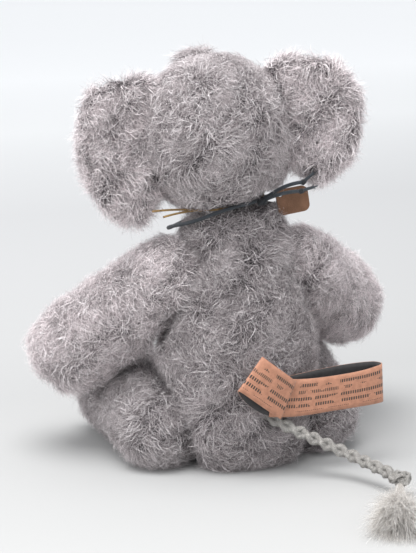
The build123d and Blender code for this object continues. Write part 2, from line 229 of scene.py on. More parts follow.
def yarn_material(name, dark, light, turns, roughness, sheen):
    """Twisted yarn: fine slanting plies from the tube's own UV, U along and V around."""
    nodes = Nodes(name)
    place = nodes.add("ShaderNodeTexCoord")
    wave = nodes.add("ShaderNodeTexWave", wave_type="BANDS", bands_direction="DIAGONAL")
    wave.inputs["Scale"].default_value = turns
    wave.inputs["Distortion"].default_value = 1.5
    wave.inputs["Detail"].default_value = 2
    nodes.link(place.outputs["UV"], wave.inputs["Vector"])
    noise = noise_of(nodes, 1500)
    mix = nodes.add("ShaderNodeMath", operation="MULTIPLY")
    nodes.link(wave.outputs["Fac"], mix.inputs[0])
    nodes.link(noise.outputs["Fac"], mix.inputs[1])
    colours = nodes.ramp(mix.outputs["Value"], [(0.05, dark), (0.5, light)])
    nodes.link(colours.outputs["Color"], nodes.shader.inputs["Base Color"])
    nodes.bump(wave.outputs["Fac"], 0.00012)
    return nodes.set(Roughness=roughness, Sheen_Weight=sheen).material


RIBBON_WIDTH = 12.6      # mm
ROW_HEIGHT = 2.3         # mm, of one row of dashes on the label


def label_material(name, base, dark, dashes):
    """Woven ribbon: warp and weft from UV in millimetres, and rows of plain dashes where it is marked."""
    nodes = Nodes(name)
    place = nodes.add("ShaderNodeTexCoord")
    split = nodes.add("ShaderNodeSeparateXYZ")
    nodes.link(place.outputs["UV"], split.inputs["Vector"])
    weave = nodes.add("ShaderNodeTexWave", wave_type="BANDS", bands_direction="Y")
    weave.inputs["Scale"].default_value = 1.3
    weave.inputs["Distortion"].default_value = 0.6
    nodes.link(place.outputs["UV"], weave.inputs["Vector"])
    noise = noise_of(nodes, 700)
    mix = nodes.add("ShaderNodeMath", operation="MULTIPLY_ADD")
    mix.inputs[1].default_value = 0.35
    nodes.link(weave.outputs["Fac"], mix.inputs[0])
    nodes.link(noise.outputs["Fac"], mix.inputs[2])
    cloth = nodes.ramp(mix.outputs["Value"], [(0.35, dark), (0.95, base)])
    colour = cloth.outputs["Color"]
    if dashes:
        rows = nodes.add("ShaderNodeTexBrick")
        rows.offset = 0.43
        rows.squash = 0.8
        rows.squash_frequency = 3
        for key, value in (("Scale", 1.0), ("Mortar Size", 0.17), ("Mortar Smooth", 0.2),
                           ("Brick Width", 0.82), ("Row Height", ROW_HEIGHT), ("Color1", (1, 1, 1, 1)),
                           ("Color2", (1, 1, 1, 1)), ("Mortar", (0, 0, 0, 1))):
            rows.inputs[key].default_value = value
        nodes.link(place.outputs["UV"], rows.inputs["Vector"])

        def math(kind, first, *rest):
            node = nodes.add("ShaderNodeMath", operation=kind)
            nodes.link(first, node.inputs[0])
            for index, value in enumerate(rest):
                if isinstance(value, float):
                    node.inputs[index + 1].default_value = value
                else:
                    nodes.link(value, node.inputs[index + 1])
            return node.outputs["Value"]

        height = math("WRAP", split.outputs["Y"], ROW_HEIGHT, 0.0)
        low_band = math("COMPARE", height, ROW_HEIGHT / 2, 0.55)
        middle = math("COMPARE", split.outputs["Y"], 6.2, 4.7)
        words = noise_of(nodes, 0.33, 0.0, 0.5, place.outputs["UV"])
        word = math("GREATER_THAN", words.outputs["Fac"], 0.42)
        marked = math("MULTIPLY", math("MULTIPLY", rows.outputs["Color"], low_band),
                      math("MULTIPLY", middle, word))
        blend = nodes.add("ShaderNodeMix", data_type="RGBA")
        nodes.link(marked, blend.inputs[0])
        nodes.link(colour, blend.inputs[6])
        blend.inputs[7].default_value = (0.045, 0.028, 0.02, 1)
        colour = blend.outputs[2]
    nodes.link(colour, nodes.shader.inputs["Base Color"])
    nodes.bump(mix.outputs["Value"], 0.00006)
    return nodes.set(Roughness=0.55, Sheen_Weight=0.25).material


suede = suede_material()
tail_yarn = yarn_material("tail_yarn", (0.30, 0.275, 0.25), (0.82, 0.79, 0.75), 9.0, 0.33, 0.2)
cord_yarn = yarn_material("waxed_cord", (0.012, 0.016, 0.022), (0.10, 0.125, 0.15), 5.0, 0.42, 0.1)
knot_yarn = yarn_material("waxed_knot", (0.004, 0.005, 0.008), (0.03, 0.037, 0.047), 5.0, 0.4, 0.1)
gold_yarn = yarn_material("gold_thread", (0.30, 0.15, 0.03), (0.68, 0.40, 0.10), 7.0, 0.45, 0.2)
ribbon_front = label_material("ribbon_front", (0.55, 0.26, 0.16), (0.34, 0.15, 0.088), True)
ribbon_back = label_material("ribbon_back", (0.03, 0.026, 0.027), (0.008, 0.007, 0.008), False)


# ------------------------------------------------------------------ mesh helpers

def as_object(name, verts, faces, materials, uv=None, slots=None):
    mesh = bpy.data.meshes.new(name)
    mesh.from_pydata([tuple(v) for v in verts], [], faces)
    for material in materials:
        mesh.materials.append(material)
    if uv is not None:
        layer = mesh.uv_layers.new(name="along")
        corners = np.empty(len(mesh.loops), dtype=np.int32)
        mesh.loops.foreach_get("vertex_index", corners)
        layer.data.foreach_set("uv", np.asarray(uv, dtype=np.float32)[corners].ravel())
    if slots is not None:
        mesh.polygons.foreach_set("material_index", np.asarray(slots, dtype=np.int32))
    mesh.polygons.foreach_set("use_smooth", [True] * len(mesh.polygons))
    mesh.update()
    piece = bpy.data.objects.new(name, mesh)
    bpy.context.collection.objects.link(piece)
    return piece


def mesh_arrays(piece):
    mesh = piece.data
    points = np.empty(len(mesh.vertices) * 3)
    mesh.vertices.foreach_get("co", points)
    mesh.calc_loop_triangles()
    triangles = np.empty(len(mesh.loop_triangles) * 3, dtype=np.int32)
    mesh.loop_triangles.foreach_get("vertices", triangles)
    return points.reshape(-1, 3), triangles.reshape(-1, 3)


def unit(vectors):
    return vectors / np.maximum(np.linalg.norm(vectors, axis=-1, keepdims=True), 1e-9)


def waves(points, period, seed):
    """A smooth random vector for each point, that turns over about one period."""
    rng = np.random.default_rng(seed)
    ways = unit(rng.normal(size=(14, 3))) * 2 * pi / period * rng.uniform(0.6, 1.7, (14, 1))
    return np.sin(points @ ways.T + rng.uniform(0, 2 * pi, 14)) @ rng.normal(size=(14, 3)) / 14 ** 0.5


def node_tree_of(names):
    """A ray-casting tree of CAD nodes."""
    points, triangles, start = [], [], 0
    for name in names:
        verts, faces = mesh_arrays(bpy.data.objects[name])
        points.append(verts)
        triangles.append(faces + start)
        start += len(verts)
    points, triangles = np.concatenate(points), np.concatenate(triangles)
    return BVHTree.FromPolygons(points.tolist(), triangles.tolist()), points


def tube(path, radius, sides, closed=False, taper=None):
    """Rings of a round tube along points, with UV in millimetres along and turns around."""
    path = [Vector(p) for p in path]
    count = len(path)
    verts, faces, uv = [], [], []
    tangents = []
    for i in range(count):
        before = path[(i - 1) % count] if closed or i > 0 else path[0]
        after = path[(i + 1) % count] if closed or i < count - 1 else path[-1]
        tangents.append((after - before).normalized())
    side = tangents[0].orthogonal().normalized()
    along = 0.0
    for i, (here, tangent) in enumerate(zip(path, tangents)):
        side = (side - tangent * side.dot(tangent)).normalized()
        other = tangent.cross(side)
        if i:
            along += (here - path[i - 1]).length
        r = radius * (taper(i / (count - 1)) if taper else 1.0)
        for j in range(sides):
            angle = 2 * pi * j / sides
            verts.append(here + r * (cos(angle) * side + sin(angle) * other))
            uv.append((along / MM, j / sides * 3))
    for i in range(count if closed else count - 1):
        low, high = i * sides, (i + 1) % count * sides
        for j in range(sides):
            k = (j + 1) % sides
            faces.append((low + j, low + k, high + k, high + j))
    if not closed:
        faces.append(tuple(reversed(range(sides))))
        faces.append(tuple(range((count - 1) * sides, count * sides)))
    return verts, faces, uv


def joined(parts):
    verts, faces, uv = [], [], []
    for v, f, u in parts:
        start = len(verts)
        verts += v
        faces += [tuple(i + start for i in face) for face in f]
        uv += u
    return verts, faces, uv


def spline_points(name, points, resolution=24):
    """Points read from an open NURBS spline's own smooth line."""
    data = bpy.data.curves.new(name, "CURVE")
    data.dimensions = "3D"
    data.resolution_u = resolution
    spline = data.splines.new("NURBS")
    spline.points.add(len(points) - 1)
    for target, point in zip(spline.points, points):
        target.co = (*point, 1)
    spline.order_u = 3
    spline.use_endpoint_u = True
    piece = bpy.data.objects.new(name, data)
    bpy.context.collection.objects.link(piece)
    mesh = bpy.data.meshes.new_from_object(piece)
    line = [v.co.copy() for v in mesh.vertices]
    bpy.data.meshes.remove(mesh)
    bpy.data.objects.remove(piece)
    return line


BRAID_STEP = 0.22 * MM   # between a braid's rings
TRIM_STEP = 0.4 * MM     # between the rings of plain cord and thread


def even(line, step):
    """The same line with points about one step apart."""
    points = np.array([tuple(p) for p in line])
    gaps = np.linalg.norm(np.diff(points, axis=0), axis=1)
    along = np.concatenate([[0], np.cumsum(gaps)])
    places = np.linspace(0, along[-1], max(2, int(along[-1] / step) + 1))
    return [Vector([np.interp(s, along, points[:, k]) for k in range(3)]) for s in places]


def braid(line, strand_radius, offset, swing, pitch, sides):
    """Four strands that go over and under each other round a line."""
    line = even(line, BRAID_STEP)
    last = len(line) - 1
    tangents = [(line[min(i + 1, last)] - line[max(i - 1, 0)]).normalized() for i in range(len(line))]
    side = tangents[0].orthogonal().normalized()
    sides_at = []
    for tangent in tangents:
        side = (side - tangent * side.dot(tangent)).normalized()
        sides_at.append((side.copy(), tangent.cross(side)))
    parts = []
    for way, phase in ((1, 0), (1, pi), (-1, 0), (-1, pi)):
        path, along = [], 0.0
        for i, here in enumerate(line):
            if i:
                along += (here - line[i - 1]).length
            turn = 2 * pi * along / pitch
            angle = way * turn + phase
            reach = offset + way * swing * cos(2 * turn)
            one, two = sides_at[i]
            path.append(here + reach * (cos(angle) * one + sin(angle) * two))
        parts.append(tube(path, strand_radius, sides))
    return joined(parts)


# ------------------------------------------------------------------ tail: braid, knot and tassel

TAIL_ROUTE = [(-1.0, 20.5, 21.0), (-7.0, 28.0, 17.6), (-16.0, 31.8, 13.2), (-24.6, 36.8, 9.2),
              (-30.8, 45.6, 6.9), (-35.0, 55.4, 5.9)]
KNOT_RADIUS = 3.5 * MM
TASSEL_END = Vector((-21.0, 92.0, 6.6)) * MM
TASSEL_POINTS = 9        # along each thread
FLOOR_GAP = 0.4 * MM     # that the tassel keeps over the floor

tail_line = spline_points("tail_route", [Vector(p) * MM for p in TAIL_ROUTE], resolution=32)
verts, faces, uv = braid(tail_line, 0.92 * MM, 1.02 * MM, 0.3 * MM, 9.4 * MM, 10)
tail = as_object("tail_braid", verts, faces, [tail_yarn], uv)

tail_way = (tail_line[-1] - tail_line[-2]).normalized()
knot_centre = tail_line[-1] + tail_way * KNOT_RADIUS * 0.7
tassel_way = (TASSEL_END - knot_centre).normalized()


def overhand(centre, axis, up, scale):
    """The open trefoil of an overhand knot, seen from its broad side."""
    across = axis.cross(up).normalized()
    level = across.cross(axis).normalized()
    points = []
    for i in range(160):
        t = 2 * pi * i / 159
        x, y, z = (2 + cos(3 * t)) * cos(2 * t), (2 + cos(3 * t)) * sin(2 * t), 1.15 * sin(3 * t)
        points.append(centre + scale * (x * across + y * axis + z * level))
    return points


verts, faces, uv = braid(overhand(knot_centre, (tail_way + tassel_way).normalized(), Vector((0, 0, 1)),
                                  0.92 * MM), 0.52 * MM, 0.66 * MM, 0.16 * MM, 6.4 * MM, 8)
tail_knot = as_object("tail_knot", verts, faces, [tail_yarn], uv)


def tassel_lines(count, seed, start, end, root, spread, points):
    """Loose threads that fan out from a root, droop, and wave a little."""
    rng = np.random.default_rng(seed)
    way = (end - start).normalized()
    one = way.orthogonal().normalized()
    two = way.cross(one)
    angle = rng.uniform(0, 2 * pi, count)
    place = np.sqrt(rng.uniform(0, 1, count))
    reach = (end - start).length * rng.uniform(0.55, 1.08, count)
    s = np.linspace(0, 1, points)
    ring = np.cos(angle)[:, None] * np.array(one) + np.sin(angle)[:, None] * np.array(two)
    width = root + (spread - root) * s ** 1.25
    lines = (np.array(start) + reach[:, None, None] * s[None, :, None] * np.array(way)
             + (place[:, None] * width[None, :])[:, :, None] * ring[:, None, :])
    swell = 0.0019 * s[None, :, None] * np.sin(2 * pi * (s[None, :] * rng.uniform(0.8, 2.0, (count, 1))
                                                         + rng.uniform(0, 1, (count, 1))))[:, :, None]
    lines += swell * unit(rng.normal(size=(count, 3)))[:, None, :]
    lines += 0.0042 * (s ** 2)[None, :, None] * unit(rng.normal(size=(count, 3)))[:, None, :]
    lines[:, :, 2] -= 0.0034 * np.sin(0.5 * pi * np.minimum(1, 2.2 * s))[None, :]
    lines[:, :, 2] = np.maximum(lines[:, :, 2], FLOOR_GAP)
    return lines


def ribbons(lines, widths, seed):
    """Flat tapering ribbons along many lines, as one mesh's arrays, with the index of each face's place."""
    rng = np.random.default_rng(seed)
    count, steps, _ = lines.shape
    along = unit(np.gradient(lines, axis=1))
    twist = unit(rng.normal(size=(count, 1, 3)))
    across = unit(np.cross(along, twist))
    half = np.asarray(widths) / 2
    left = lines - across * half[None, :, None]
    right = lines + across * half[None, :, None]
    verts = np.concatenate([np.stack([left[:, :-1], right[:, :-1]], axis=2).reshape(count, -1, 3),
                            lines[:, -1:]], axis=1)
    size = verts.shape[1]
    base = np.arange(count)[:, None] * size
    quads, places = [], []
    for k in range(steps - 2):
        quads.append(base + np.array([2 * k, 2 * k + 1, 2 * k + 3, 2 * k + 2]))
        places.append(np.full(count, k))
    last = 2 * (steps - 2)
    tips = base + np.array([last, last + 1, last + 2])
    faces = np.concatenate(quads).tolist() + tips.tolist()
    places.append(np.full(count, steps - 2))
    return verts.reshape(-1, 3), faces, np.concatenate(places)


def hair_curves(name, lines, radius, material, parent):
    """Fine hairs that belong to a piece: they are drawn with it and move with it."""
    count, steps, _ = lines.shape
    data = bpy.data.hair_curves.new(name)
    data.add_curves([steps] * count)
    data.points.foreach_set("position", lines.astype(np.float32).ravel())
    taper = radius * (1 - 0.75 * np.linspace(0, 1, steps) ** 1.5)
    data.points.foreach_set("radius", np.tile(taper, count).astype(np.float32))
    data.materials.append(material)
    piece = bpy.data.objects.new(name, data)
    bpy.context.collection.objects.link(piece)
    piece.parent = parent
    return piece


tassel_start = knot_centre + tassel_way * KNOT_RADIUS * 1.05 - Vector((0, 0, 1.6 * MM))
tassel_tints = [plain_pile("tassel_dark", (0.56, 0.53, 0.50)), plain_pile("tassel_light", (0.76, 0.73, 0.70)),
                plain_pile("tassel_pale", (0.88, 0.86, 0.84))]
lines = tassel_lines(2600, 3, tassel_start, TASSEL_END, 1.1 * MM, 6.8 * MM, TASSEL_POINTS)
verts, faces, places = ribbons(lines, np.linspace(0.14, 0.07, TASSEL_POINTS) * MM, 4)
tints = np.random.default_rng(5).integers(0, 3, len(lines))
tassel = as_object("tail_tassel_threads", verts, faces, tassel_tints,
                   slots=np.tile(tints, TASSEL_POINTS - 1))
tassel_hair = hair_material("tassel_hair", [(0.0, (0.55, 0.52, 0.49)), (0.5, (0.76, 0.73, 0.70)),
                                            (1.0, (0.88, 0.86, 0.84))], 0.3, 0.35)
hair_curves("tassel_fine", tassel_lines(5200, 6, tassel_start, TASSEL_END, 1.2 * MM, 7.8 * MM, 10),
            0.035 * MM, tassel_hair, tassel)

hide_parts("tail_cord")
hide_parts("tail_end_knot")
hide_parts("tail_tassel")
for piece in (tail, tail_knot, tassel):
    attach(piece, "torso")


# ------------------------------------------------------------------ skins under the pile

def skin_of(name, nodes, centre, inset, lumps, seed):
    """The stuffed form under the pile: it fills the CAD cover, drawn in a little and uneven as wadding is."""
    tree, points = node_tree_of(nodes)
    if centre is None:
        centre = (points.max(0) + points.min(0)) / 2
    centre = Vector(centre)
    ball = bmesh.new()
    bmesh.ops.create_icosphere(ball, subdivisions=6, radius=1)
    far = float(np.linalg.norm(points - np.array(centre), axis=1).max()) * 1.1
    for vert in ball.verts:
        way = vert.co.normalized()
        hit = tree.ray_cast(centre + way * far, -way)[0]
        vert.co = hit if hit is not None else centre
    for _ in range(3):
        bmesh.ops.smooth_vert(ball, verts=ball.verts, factor=0.4, use_axis_x=True, use_axis_y=True,
                              use_axis_z=True)
    ball.normal_update()
    co = np.array([tuple(v.co) for v in ball.verts])
    normal = np.array([tuple(v.normal) for v in ball.verts])
    depth = inset + lumps * waves(co, 14 * MM, seed)[:, 0] + 0.35 * lumps * waves(co, 5 * MM, seed + 1)[:, 0]
    co -= normal * depth[:, None]
    co[:, 2] = np.maximum(co[:, 2], 0.3 * MM)
    for vert, place in zip(ball.verts, co):
        vert.co = place
    mesh = bpy.data.meshes.new(name)
    ball.to_mesh(mesh)
    ball.free()
    mesh.materials.append(backing)
    mesh.polygons.foreach_set("use_smooth", [True] * len(mesh.polygons))
    piece = bpy.data.objects.new(name, mesh)
    bpy.context.collection.objects.link(piece)
    return piece


PLUSH = {
    "torso": ("torso", ["torso_cover"], (0, 0, 0.045)),
    "head": ("head", ["head_cover"], None),
    "trunk": ("head", ["trunk_cover"], tuple(HEAD @ Vector((0, -0.0387, 0.0248)))),
    "ear_left": ("head", ["ear_left_back", "ear_left_front"], None),
    "ear_right": ("head", ["ear_right_back", "ear_right_front"], None),
    "arm_left": ("arm_left", ["arm_left_cover", "arm_left_pad"], None),
    "arm_right": ("arm_right", ["arm_right_cover", "arm_right_pad"], None),
    "leg_left": ("leg_left", ["leg_left_cover", "leg_left_pad"], None),
    "leg_right": ("leg_right", ["leg_right_cover", "leg_right_pad"], None),
}
skins = {}
for number, (name, (body, nodes, centre)) in enumerate(PLUSH.items()):
    skins[name] = skin_of(name + "_form", nodes, centre, 0.9 * MM, 0.35 * MM, 20 + number)
skin_trees = {}
skin_boxes = {}
for name, skin in skins.items():
    points, triangles = mesh_arrays(skin)
    skin_trees[name] = BVHTree.FromPolygons(points.tolist(), triangles.tolist())
    skin_boxes[name] = (points.min(0), points.max(0))


def room_beside(name, points):
    """How freely pile stands at each point: 1 in the open, 0 or less where another plush part presses it."""
    room = np.ones(len(points))
    for other, tree in skin_trees.items():
        if other == name:
            continue
        low, high = skin_boxes[other]
        near, reach = CROWD if PLUSH[other][0] != PLUSH[name][0] else CROWD_SAME_BODY
        for i in np.flatnonzero(np.all((points > low - reach) & (points < high + reach), axis=1)):
            place, normal, _, distance = tree.find_nearest(Vector(points[i]), reach)
            if place is None:
                continue
            if (Vector(points[i]) - place).dot(normal) < 0:
                distance = 0
            room[i] = min(room[i], (distance - near) / (reach - near))
    return room


def pad_place(node):
    """Centre of a pad's outer face, its outward axis and its radius."""
    points, _ = mesh_arrays(bpy.data.objects[node])
    middle = (points.max(0) + points.min(0)) / 2
    spread = points - points.mean(0)
    axis = np.linalg.svd(spread[:: max(1, len(spread) // 500)], full_matrices=False)[2][2]
    body = node.rsplit("_", 1)[0]
    cover, _ = mesh_arrays(bpy.data.objects[body + "_cover"])
    if (points.mean(0) - cover.mean(0)) @ axis < 0:
        axis = -axis
    radius = np.linalg.norm(spread - np.outer(spread @ axis, axis), axis=1).max()
    face = points.mean(0) + axis * (spread @ axis).max()
    return Vector(face), Vector(axis), float(radius)


PADS = {name: pad_place(name + "_pad") for name in ("arm_left", "arm_right", "leg_left", "leg_right")}

# Pile is pressed short between these two distances to another part, and has none nearer than the first.
CROWD = (1.7 * MM, 6.0 * MM)
CROWD_SAME_BODY = (0.2 * MM, 2.6 * MM)
keep_clear = []          # points and radii that strands stay out of
WILD = 1.0               # spread of the strands' lean against the flow
CURL = 0.14              # sideways wave of a strand, of its length


def clear_of(points, extra):
    """Which strand points are too near trims that lie on the pile."""
    near = np.zeros(points.shape[:2], dtype=bool)
    for path, radius in keep_clear:
        path = np.asarray(path)
        low, high = path.min(0) - radius - extra, path.max(0) + radius + extra
        candidates = np.all((points > low) & (points < high), axis=2)
        rows = np.flatnonzero(candidates.any(axis=1))
        if not len(rows):
            continue
        sub = points[rows]
        for start in range(0, len(rows), 4000):
            block = sub[start:start + 4000]
            gap = np.linalg.norm(block[:, :, None, :] - path[None, None, :, :], axis=3).min(axis=2)
            near[rows[start:start + 4000]] |= gap < radius + extra
    return ~near.any(axis=1)


def scatter(name, count, rng):
    """Roots over a skin, even by area, with the skin's normal there."""
    points, triangles = mesh_arrays(skins[name])
    normals = np.empty(len(points) * 3)
    skins[name].data.vertices.foreach_get("normal", normals)
    normals = normals.reshape(-1, 3)
    a, b, c = (points[triangles[:, k]] for k in range(3))
    area = np.linalg.norm(np.cross(b - a, c - a), axis=1)
    pick = rng.choice(len(triangles), size=count, p=area / area.sum())
    u, v = rng.uniform(size=(2, count))
    flip = u + v > 1
    u[flip], v[flip] = 1 - u[flip], 1 - v[flip]
    w = 1 - u - v
    chosen = triangles[pick]

    def blend(corners):
        return (w[:, None] * corners[chosen[:, 0]] + u[:, None] * corners[chosen[:, 1]]
                + v[:, None] * corners[chosen[:, 2]])

    roots, normal = blend(points), unit(blend(normals))
    room = room_beside(name, roots + normal * 0.8 * MM)
    keep = room > 0
    if name in PADS:
        face, axis, radius = PADS[name]
        off = roots - np.array(face)
        height = off @ np.array(axis)
        across = np.linalg.norm(off - height[:, None] * np.array(axis), axis=1)
        keep &= ~((height > -3 * MM) & (across < radius - 0.2 * MM))
    keep &= ~((roots[:, 2] < 0.8 * MM) & (normal[:, 2] < -0.5))
    return roots[keep], normal[keep], np.maximum(room[keep], 0.2)


def pile_lines(name, count, length, seed, steps, lift, clump, tuft):
    """Strand lines over one part: they lean along a slowly turning flow and gather into tufts.

    lift is how far they stand up, clump how much they are pulled together, tuft how many share a guide.
    """
    rng = np.random.default_rng(seed)
    roots, normal, room = scatter(name, count, rng)
    count = len(roots)
    down = np.array([0, 0, -0.55 if name.startswith("ear") else -0.3])
    s = np.linspace(0, 1, steps)[None, :, None]

    def line_from(roots, normal, wildness, room):
        flow = 0.75 * waves(roots, 19 * MM, 77) + 0.5 * waves(roots, 6 * MM, 78)
        lean = flow + wildness * rng.normal(size=roots.shape) + down
        lean -= (lean * normal).sum(axis=1, keepdims=True) * normal
        size = np.linalg.norm(lean, axis=1, keepdims=True)
        lean = lean / np.maximum(size, 1e-9) * np.clip(size, 0.35, 1.15)
        reach = (length * rng.uniform(0.7, 1.2, (len(roots), 1)) * room[:, None])[:, None, :]
        rise = lift * rng.uniform(0.7, 1.15, (len(roots), 1))[:, None, :]
        lean, normal = lean[:, None, :], normal[:, None, :]
        return (roots[:, None, :] + reach * (normal * (rise * s - 0.38 * s ** 2)
                                             + lean * (0.32 * s + 0.42 * s ** 2)))

    lines = line_from(roots, normal, WILD, room)
    guides = max(50, count // tuft)
    guide_lines = line_from(roots[:guides], normal[:guides], WILD * 1.2, room[:guides])
    tree = KDTree(guides)
    for i, root in enumerate(roots[:guides]):
        tree.insert(root, i)
    tree.balance()
    nearest = np.array([tree.find(root)[1] for root in roots])
    pull = clump * rng.uniform(0.3, 1.0, (count, 1, 1)) * s ** 1.3
    lines += pull * (guide_lines[nearest] - lines)
    kink = unit(rng.normal(size=(count, 1, 3)))
    lines += CURL * length * kink * np.sin(2 * pi * (s * rng.uniform(0.7, 1.6, (count, 1, 1))
                                                     + rng.uniform(0, 1, (count, 1, 1)))) * s
    lines[:, :, 2] = np.maximum(lines[:, :, 2], 0.25 * MM)
    return lines[clear_of(lines, 0.25 * MM)]


# ------------------------------------------------------------------ necklace, thread and tag

def in_head(x, y, z):
    return HEAD @ (Vector((x, y, z)) * MM)


RING = (Matrix.Translation(Vector((1.9, -2.9, -3.0)) * MM) @ Matrix.Rotation(radians(11.0), 4, "X")
        @ Matrix.Rotation(radians(8.0), 4, "Y"))
CORD_RADIUS = 0.62 * MM
LOOP_RADIUS = 18.2       # mm, of the necklace
RING_POINTS = 220
KNOT_REACH = 19.9 * MM   # of the tied knot, from the loop's middle
THREAD_LOOP = 12.6       # mm, radius of the gold thread's loop
THREAD_HEIGHT = 0.65     # mm, over the neck joint
THREAD_RADIUS = 0.35 * MM
THREAD_POINTS = 120
ring_line = []
for i in range(RING_POINTS):
    angle = 2 * pi * i / RING_POINTS
    r = (LOOP_RADIUS + 0.25 * sin(3 * angle + 1)) * MM
    ring_line.append(HEAD @ RING @ Vector((r * cos(angle), r * sin(angle), 0.22 * MM * sin(5 * angle))))
verts, faces, uv = tube(ring_line, CORD_RADIUS, 12, closed=True)
necklace = as_object("necklace", verts, faces, [cord_yarn], uv)
knot_angle = radians(128.0)
necklace_knot = HEAD @ RING @ Vector((KNOT_REACH * cos(knot_angle), KNOT_REACH * sin(knot_angle), -0.8 * MM))


def small_knot(centre, axis, scale, radius):
    points = overhand(centre, axis, Vector((0.2, 0.1, 1)), scale)
    return tube(points, radius, 9)


LOOSE_ENDS = [((-24.9, 10.4, 4.4), (-28.9, 9.7, 6.6), (0, 0.6, 1.4)),
              ((-23.5, 12.6, 2.0), (-28.0, 11.9, 2.5), (0, 0.6, 0.9))]
end_parts = []
knot_parts = [small_knot(necklace_knot, (HEAD.to_3x3() @ Vector((-1, 0.6, 0.2))).normalized(), 0.42 * MM,
                         0.72 * MM)]
for stop, tip, bow in LOOSE_ENDS:
    stop, tip = in_head(*stop), in_head(*tip)
    middle = (necklace_knot + stop) / 2 + HEAD.to_3x3() @ (Vector(bow) * MM)
    line = even(spline_points("loose", [necklace_knot, middle + (middle - (necklace_knot + stop) / 2), stop]),
                TRIM_STEP)
    end_parts.append(tube(line, CORD_RADIUS, 12))
    knot_parts.append(small_knot(stop, (tip - stop).normalized(), 0.25 * MM, 0.5 * MM))
    line = even([stop, stop.lerp(tip, 0.55) + Vector((0, 0, 0.1 * MM)), tip], TRIM_STEP)
    end_parts.append(tube(line, 0.6 * MM, 12, taper=lambda share: 1 - 0.25 * share))
    for k in range(9):
        spray = Vector((cos(k * 2.4), sin(k * 2.4), cos(k * 1.3))) * 0.45 * MM
        end_parts.append(tube([tip - (tip - stop) * 0.12 + spray * 0.4, tip + spray,
                               tip + (tip - stop) * 0.12 + spray * 1.6], 0.1 * MM, 5))
verts, faces, uv = joined(end_parts)
necklace_ends = as_object("necklace_loose_ends", verts, faces, [cord_yarn], uv)
verts, faces, uv = joined(knot_parts)
necklace_knots = as_object("necklace_tied_knots", verts, faces, [knot_yarn], uv)
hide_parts("necklace_cord")
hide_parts("necklace_ends")
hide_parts("necklace_knots")



def on_thread_loop(angle):
    return in_head(THREAD_LOOP * cos(angle), THREAD_LOOP * sin(angle), THREAD_HEIGHT)


thread_line = [on_thread_loop(2 * pi * i / THREAD_POINTS) for i in range(THREAD_POINTS)]
knot_at = on_thread_loop(radians(40))
thread_parts = [tube(thread_line, THREAD_RADIUS, 8, closed=True),
                small_knot(knot_at, Vector((1, 0, 0)), 0.2 * MM, 0.34 * MM)]
for tip in ((25.2, 11.6, 3.6), (22.1, 13.4, 1.5)):
    end = in_head(*tip)
    middle = (knot_at + end) / 2 + Vector((0, 0, 0.7 * MM))
    thread_parts.append(tube(even(spline_points("thread", [knot_at, middle, end]), TRIM_STEP),
                             THREAD_RADIUS, 8))
verts, faces, uv = joined(thread_parts)
neck_thread = as_object("gold_neck_thread", verts, faces, [gold_yarn], uv)
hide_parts("neck_thread")
for piece, slot in ((necklace, "waxed_cord"), (necklace_ends, "waxed_cord"), (necklace_knots, "waxed_cord"),
                    (neck_thread, "gold_thread")):
    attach(piece, "head")

keep_clear.append((ring_line[::2], 2.2 * MM))
keep_clear.append(([tuple(v.co) for v in list(necklace_ends.data.vertices)[::25]], 0.7 * MM))
keep_clear.append(([tuple(necklace_knot)], 3.0 * MM))
keep_clear.append(([tuple(v.co) for v in list(neck_thread.data.vertices)[THREAD_POINTS * 8::12]], 0.5 * MM))
keep_clear.append((tail_line, 1.7 * MM))


# ------------------------------------------------------------------ sewn-in label

LABEL = (Matrix.Translation(Vector((-5.0, 29.4, 20.8)) * MM)
         @ Matrix(((-1, 0, 0, 0), (0, 0, 1, 0), (0, 1, 0, 0), (0, 0, 0, 1)))
         @ Matrix.Rotation(radians(4.0), 4, "Y"))


STEPS_ACROSS = 9         # points across the ribbon


def strip(rows):
    """A ribbon between two selvedges. A row is (low x, y, z), (high x, y, z) in the label's plane, in mm."""
    verts, uv, faces = [], [], []
    along = 0.0
    for i, (low, high) in enumerate(rows):
        low, high = Vector(low), Vector(high)
        if i:
            last_low, last_high = Vector(rows[i - 1][0]), Vector(rows[i - 1][1])
            along += ((low + high) / 2 - (last_low + last_high) / 2).length
        for k in range(STEPS_ACROSS):
            share = k / (STEPS_ACROSS - 1)
            verts.append(LABEL @ (low.lerp(high, share) * MM))
            uv.append((along, share * RIBBON_WIDTH))
    for i in range(len(rows) - 1):
        for k in range(STEPS_ACROSS - 1):
            a = i * STEPS_ACROSS + k
            faces.append((a + STEPS_ACROSS, a + 1 + STEPS_ACROSS, a + 1, a))
    return verts, faces, uv, along


def smooth_rows(rows, count):
    """Rows of a ribbon filled in along a smooth line through them."""
    low = even(spline_points("low", [Vector(a) for a, b in rows], resolution=16), 0.1)
    high = even(spline_points("high", [Vector(b) for a, b in rows], resolution=16), 0.1)
    out = []
    for i in range(count):
        share = i / (count - 1)
        out.append((low[round(share * (len(low) - 1))], high[round(share * (len(high) - 1))]))
    return out


